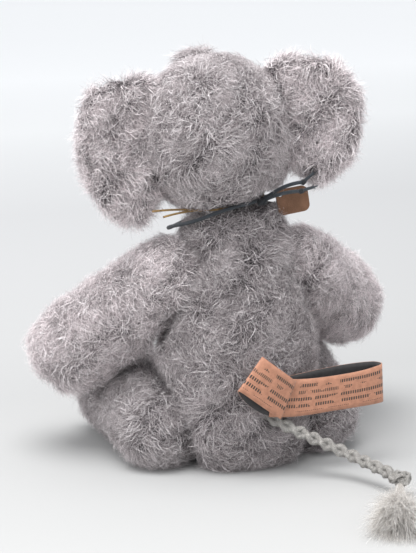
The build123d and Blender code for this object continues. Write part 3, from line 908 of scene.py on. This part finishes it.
fold_rows = [((-1.6, 0.0, -0.6), (2.9, 11.6, -0.8)), ((-6.0, 1.6, -0.9), (-1.4, 13.6, -1.0)),
             ((-11.6, 6.6, -0.3), (-4.4, 18.4, -0.2)), ((-13.9, 10.2, 0.7), (-5.4, 20.8, 0.6)),
             ((-13.9, 10.8, 1.6), (-5.2, 20.9, 1.6)), ((-11.0, 8.6, 2.4), (-2.6, 18.6, 2.5)),
             ((-5.4, 4.0, 2.7), (1.6, 15.3, 2.9)), ((-0.4, 0.2, 2.3), (5.2, 12.2, 2.5)),
             ((0.2, -0.3, 2.1), (5.6, 11.9, 2.3))]
front_rows = [((-3.0, 0.2, -0.3), (-0.4, 12.6, -0.4)), ((1.0, -0.2, 0.4), (3.5, 12.4, 0.3)),
              ((8.0, -0.5, 1.0), (8.6, 11.7, 0.6)), ((19.0, 0.2, 1.6), (18.6, 11.7, 1.0)),
              ((30.0, 0.5, 1.7), (29.8, 12.4, 1.2)), ((36.0, 0.7, 1.2), (35.8, 13.4, 0.7)),
              ((37.7, 0.8, 0.2), (37.5, 13.6, -0.3)), ((37.3, 0.9, -1.1), (37.1, 13.8, -1.6)),
              ((35.0, 1.1, -1.8), (34.6, 14.2, -2.5)), ((26.0, 1.6, -1.9), (25.6, 14.1, -3.0)),
              ((14.0, 1.2, -1.6), (13.8, 13.4, -2.5)), ((4.0, 0.6, -1.4), (5.0, 12.6, -1.9)),
              ((-2.0, 0.4, -1.6), (0.6, 12.0, -2.0))]
verts, faces, uv, fold_length = strip(smooth_rows(fold_rows, 80))
more_verts, more_faces, more_uv, strap_length = strip(smooth_rows(front_rows, 180))
faces += [tuple(i + len(verts) for i in face) for face in more_faces]
verts += more_verts
uv += more_uv
label = as_object("sewn_label_ribbon", verts, faces, [ribbon_front, ribbon_back], uv)
thick = label.modifiers.new("thickness", "SOLIDIFY")
thick.thickness = 0.3 * MM
thick.offset = 0
thick.material_offset = 1
thick.material_offset_rim = 0
bpy.context.view_layer.objects.active = label
with bpy.context.temp_override(object=label, active_object=label):
    bpy.ops.object.modifier_apply(modifier="thickness")
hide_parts("sewn_label")
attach(label, "torso")
keep_clear.append(([tuple(v.co) for v in list(label.data.vertices)[::3]], 0.9 * MM))


# ------------------------------------------------------------------ pile on every plush part

def area_of(name):
    points, triangles = mesh_arrays(skins[name])
    a, b, c = (points[triangles[:, k]] for k in range(3))
    return float(np.linalg.norm(np.cross(b - a, c - a), axis=1).sum()) / 2


STRANDS = 3.4            # to a square millimetre
HAIRS = 9
# a piece with more would be thinned when its mesh is exported
MOST_STRANDS = 27500     # most strands to one piece; the rest are left out
STRAND_WIDTHS = np.array([0.23, 0.23, 0.20, 0.14, 0.0]) * MM
HAIR_RADIUS = 0.045 * MM

for number, (name, (body, nodes, centre)) in enumerate(PLUSH.items()):
    skin = skins[name]
    area = area_of(name) / MM ** 2
    length = 7.0 if body == "head" else 7.8
    lines = pile_lines(name, int(min(30000, area * STRANDS)), length * MM, 100 + number, len(STRAND_WIDTHS),
                       lift=0.76, clump=0.4, tuft=9)[:MOST_STRANDS]
    rng = np.random.default_rng(300 + number)
    verts, faces, places = ribbons(lines, STRAND_WIDTHS, 200 + number)
    tone = rng.integers(0, 2, len(lines))
    slots = np.minimum(places + np.tile(tone, len(STRAND_WIDTHS) - 1), len(PILE_TONES) - 1)
    # Painted shade: the strands and hairs take the pile colours darkened or lightened for this kind of part.
    kind = name.split("_")[0]
    piece = as_object(name + "_pile", verts, faces, pile[kind], slots=slots)
    hairs = pile_lines(name, int(area * HAIRS), (length + 0.2) * MM, 400 + number, 6,
                       lift=0.78, clump=0.55, tuft=11)
    hair_curves(name + "_hairs", hairs, HAIR_RADIUS, hair[kind], piece)
    for part in (skin, piece):
        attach(part, body)
    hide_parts(*[node for node in nodes if not node.endswith("_pad")])


# ------------------------------------------------------------------ pads

PAD_CROWN = 0.9 * MM
PAD_STITCHES = 28


def pad_piece(name):
    """A suede pad: a crowned disc, drawn in at the seam, with its ring of stitches."""
    face, axis, radius = PADS[name]
    one = axis.orthogonal().normalized()
    two = axis.cross(one)
    rings, around = 14, 96
    verts, faces = [], []
    profile = [(radius * k / rings, PAD_CROWN * (1 - (k / rings) ** 2.4)) for k in range(1, rings + 1)]
    profile += [(radius, -0.7 * MM), (radius * 0.93, -0.95 * MM)]
    verts.append(face + axis * PAD_CROWN)
    for r, h in profile:
        for j in range(around):
            angle = 2 * pi * j / around
            pucker = 0.10 * MM * cos(angle * PAD_STITCHES) * (r / radius) ** 6
            verts.append(face + axis * (h + pucker) + r * (cos(angle) * one + sin(angle) * two))
    verts.append(face - axis * 0.95 * MM)
    for j in range(around):
        k = (j + 1) % around
        faces.append((0, 1 + j, 1 + k))
        for ring in range(len(profile) - 1):
            a, b = 1 + ring * around, 1 + (ring + 1) * around
            faces.append((a + j, b + j, b + k, a + k))
        last = 1 + (len(profile) - 1) * around
        faces.append((last + k, last + j, len(verts) - 1))
    pad = as_object(name + "_suede_pad", verts, faces, [suede])
    stitches = []
    for j in range(PAD_STITCHES):
        angle = 2 * pi * j / PAD_STITCHES
        ray = cos(angle) * one + sin(angle) * two
        start = face + ray * radius * 0.93 + axis * 0.32 * MM
        end = face + ray * (radius + 0.5 * MM) + axis * 0.1 * MM
        stitches.append(tube(even(spline_points("stitch", [start - axis * 0.2 * MM, start + axis * 0.25 * MM,
                                                           end + axis * 0.25 * MM, end - axis * 0.4 * MM]),
                                  0.0003), 0.16 * MM, 6))
    v, f, u = joined(stitches)
    seam = as_object(name + "_pad_stitches", v, f, [tail_yarn], u)
    for piece in (pad, seam):
        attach(piece, name)
    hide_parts(name + "_pad")


for name in PADS:
    pad_piece(name)


# ------------------------------------------------------------------ carried-over CAD pieces

def give(node, material):
    mesh = bpy.data.objects[node]
    for slot in mesh.material_slots:
        slot.material = material
    if not mesh.material_slots:
        mesh.data.materials.append(material)


eye_glass = Nodes("eye_glass")
iris = noise_of(eye_glass, 120)
colours = eye_glass.ramp(iris.outputs["Fac"], [(0.3, (0.002, 0.002, 0.003)), (0.7, (0.012, 0.010, 0.010))])
eye_glass.link(colours.outputs["Color"], eye_glass.shader.inputs["Base Color"])
eye_glass.set(Roughness=0.06, Coat_Weight=1.0, Coat_Roughness=0.03)
steel = mottled("zinc_steel", (0.45, 0.45, 0.47), (0.62, 0.62, 0.64), 500, 0.35, 0.00002,
                Metallic=1.0).material
board = mottled("hardboard", (0.16, 0.085, 0.04), (0.28, 0.16, 0.085), 900, 0.75, 0.0001).material
wadding = mottled("wadding", (0.7, 0.69, 0.66), (0.88, 0.87, 0.84), 350, 0.95, 0.0005).material
bag_cloth = mottled("bag_cloth", (0.55, 0.52, 0.44), (0.72, 0.69, 0.6), 900, 0.9, 0.0001).material
card = mottled("insole_card", (0.35, 0.27, 0.18), (0.5, 0.4, 0.28), 700, 0.85, 0.00005).material
leather = leather_material()
finishes = {"steel": steel, "hardboard": board, "filling": wadding, "bag_cloth": bag_cloth,
            "eye_glass": eye_glass.material, "tag_leather": leather, "tail_braid": tail_yarn}
for entry in frame["record"]["subparts"]:
    node, slot = entry["node"], entry["material_slot"]
    if slot in finishes and not node.startswith(("tail_cord", "tail_end", "tail_tassel")):
        give(node, card if node.endswith("_insole") else finishes[slot])


# ------------------------------------------------------------------ floor, backdrop and light

FLOOR_FAR, FLOOR_NEAR = -1.6, 0.15   # metres along Y that the floor's painted light and shade run over


def stage_plane():
    floor = as_object("floor", [(-9, -9, 0), (9, -9, 0), (9, 9, 0), (-9, 9, 0)], [(0, 1, 2, 3)], [])
    nodes = Nodes("floor_paper")
    split = nodes.add("ShaderNodeSeparateXYZ")
    nodes.link(nodes.add("ShaderNodeTexCoord").outputs["Object"], split.inputs["Vector"])
    depth = nodes.add("ShaderNodeMapRange")
    for key, value in (("From Min", FLOOR_FAR), ("From Max", FLOOR_NEAR), ("To Min", 0.0), ("To Max", 1.0)):
        depth.inputs[key].default_value = value
    nodes.link(split.outputs["Y"], depth.inputs["Value"])
    # Painted light and shade: the paper is coloured light far behind the object and darker towards the
    # camera, standing in for how the lamps light the floor.
    tones = nodes.ramp(depth.outputs["Result"], [(0.0, (0.96, 0.965, 0.975)), (0.35, (0.82, 0.825, 0.83)),
                                                 (0.62, (0.55, 0.55, 0.555)), (0.86, (0.42, 0.42, 0.42)),
                                                 (1.0, (0.48, 0.48, 0.475))])
    nodes.link(tones.outputs["Color"], nodes.shader.inputs["Base Color"])
    nodes.set(Roughness=0.9, Specular_IOR_Level=0.1)
    floor.data.materials.append(nodes.material)


def area_light(name, place, aim, size, power):
    data = bpy.data.lights.new(name, "AREA")
    data.shape = "DISK"
    data.size = size
    data.energy = power
    light = bpy.data.objects.new(name, data)
    bpy.context.collection.objects.link(light)
    light.location = place
    light.rotation_euler = (Vector(aim) - Vector(place)).to_track_quat("-Z", "Y").to_euler()


stage_plane()
world = bpy.data.worlds.new("studio")
bpy.context.scene.world = world
world.use_nodes = True
world.node_tree.nodes["Background"].inputs["Color"].default_value = (0.96, 0.98, 1.0, 1)
world.node_tree.nodes["Background"].inputs["Strength"].default_value = 0.97
area_light("overhead", (0.14, 0.10, 0.8), (0, 0, 0.05), 0.6, 7.0)
area_light("window", (0.9, 0.4, 0.5), (0, 0, 0.06), 0.7, 3.6)
bpy.context.scene.view_settings.view_transform = "Standard"
